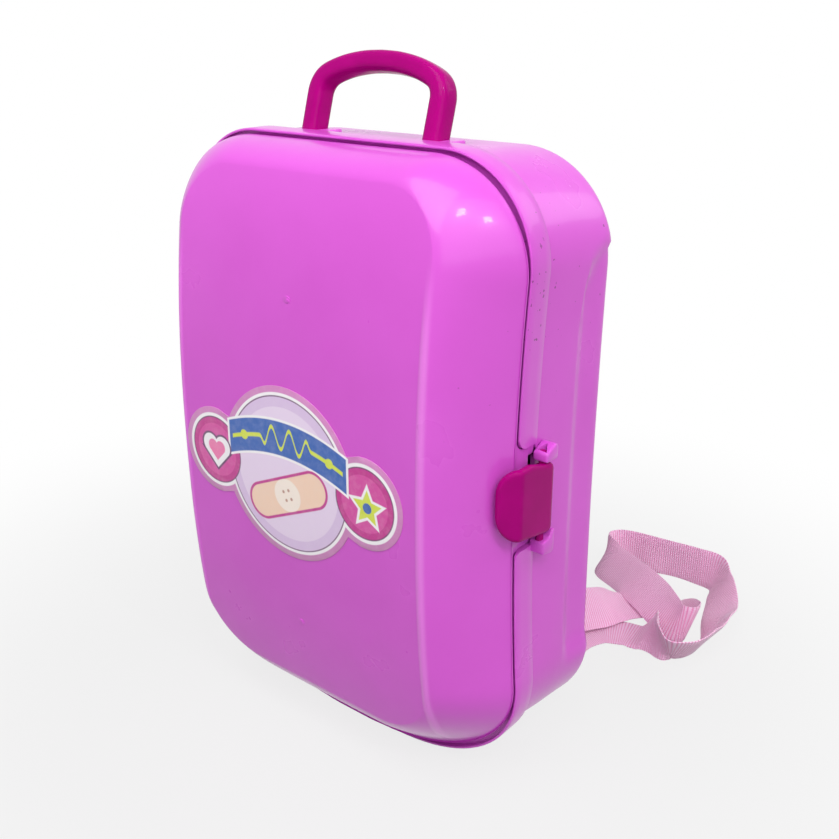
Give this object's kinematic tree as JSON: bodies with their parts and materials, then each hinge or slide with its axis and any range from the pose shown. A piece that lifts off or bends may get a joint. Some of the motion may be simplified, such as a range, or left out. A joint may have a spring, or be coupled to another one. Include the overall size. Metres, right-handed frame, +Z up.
{
  "type": "toy doctor case",
  "caption": "Upright toy doctor case: a moulded front shell hinged to a back shell, with a turning side latch, a carry handle, a front sticker and webbing back straps.",
  "frame": {"origin": "on the floor, under the middle of the closed case's width and depth", "axes": "+X to the latch side, -Y to the front dome, +Z up to the carry handle"},
  "size_m": [0.2068, 0.242, 0.2915],
  "materials": {
    "shell_pink": "semi-gloss moulded plastic, orchid pink",
    "trim_magenta": "glossy moulded plastic, deep magenta",
    "pin_natural": "natural nylon",
    "sticker_film": "printed self-adhesive film",
    "webbing_pink": "ribbed woven webbing, light pink",
    "keeper_natural": "natural nylon"
  },
  "bodies": {
    "case": {"back_shell": "shell_pink", "carry_handle": "trim_magenta", "hinge_pin_upper": "pin_natural", "hinge_pin_lower": "pin_natural", "strap_right": "webbing_pink", "strap_left": "webbing_pink", "strap_keeper_upper_right": "keeper_natural", "strap_keeper_upper_left": "keeper_natural", "strap_keeper_lower_right": "keeper_natural", "strap_keeper_lower_left": "keeper_natural"},
    "door": {"front_shell": "shell_pink", "front_sticker": "sticker_film"},
    "latch": {"side_latch": "trim_magenta"}
  },
  "joints": [
    {"name": "door_hinge", "type": "hinge", "parent": "case", "child": "door", "pos_m": [-0.0906, -0.0115, 0.13], "axis": [0, 0, -1], "range_deg": [0, 180]},
    {"name": "latch_hinge", "type": "hinge", "parent": "case", "child": "latch", "pos_m": [0.088, 0.0012, 0.134], "axis": [0, 0, 1], "range_deg": [0, 100]}
  ]
}
